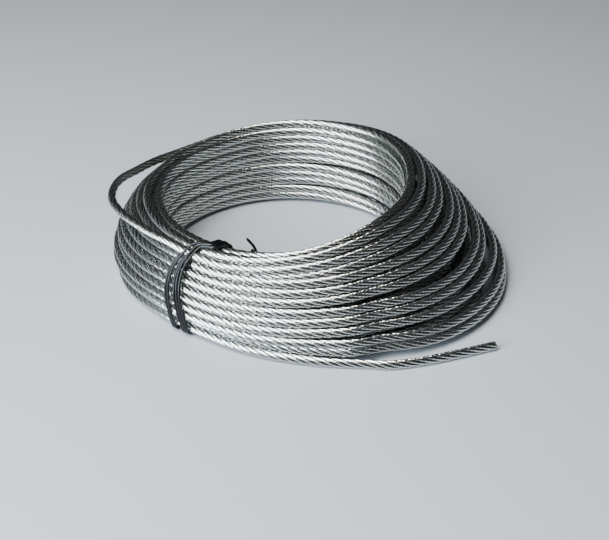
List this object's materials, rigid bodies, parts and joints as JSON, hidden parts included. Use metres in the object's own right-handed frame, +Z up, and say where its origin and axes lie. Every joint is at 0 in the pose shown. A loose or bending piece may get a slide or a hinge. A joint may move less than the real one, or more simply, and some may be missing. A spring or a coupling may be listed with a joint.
{
  "type": "coil of wire rope",
  "caption": "Loose hand-wound coil of bright stranded steel wire rope with a cut free end, held by wraps of black coated tie wire.",
  "frame": {"origin": "centre of the coil's box, on the floor that it lies on", "axes": "+Z up along the coil's axis; +X towards the side where the coil fans out; the free end and the tie are on the -Y side"},
  "size_m": [0.2366, 0.2192, 0.0622],
  "materials": {
    "steel_wire_rope": "bright drawn steel wires, lightly oiled",
    "black_coated_wire": "smooth black plastic coating"
  },
  "bodies": {
    "root": {"rope_coil": "steel_wire_rope", "rope_free_end": "steel_wire_rope", "rope_loose_turn": "steel_wire_rope", "tie_wire": "black_coated_wire"}
  },
  "joints": []
}
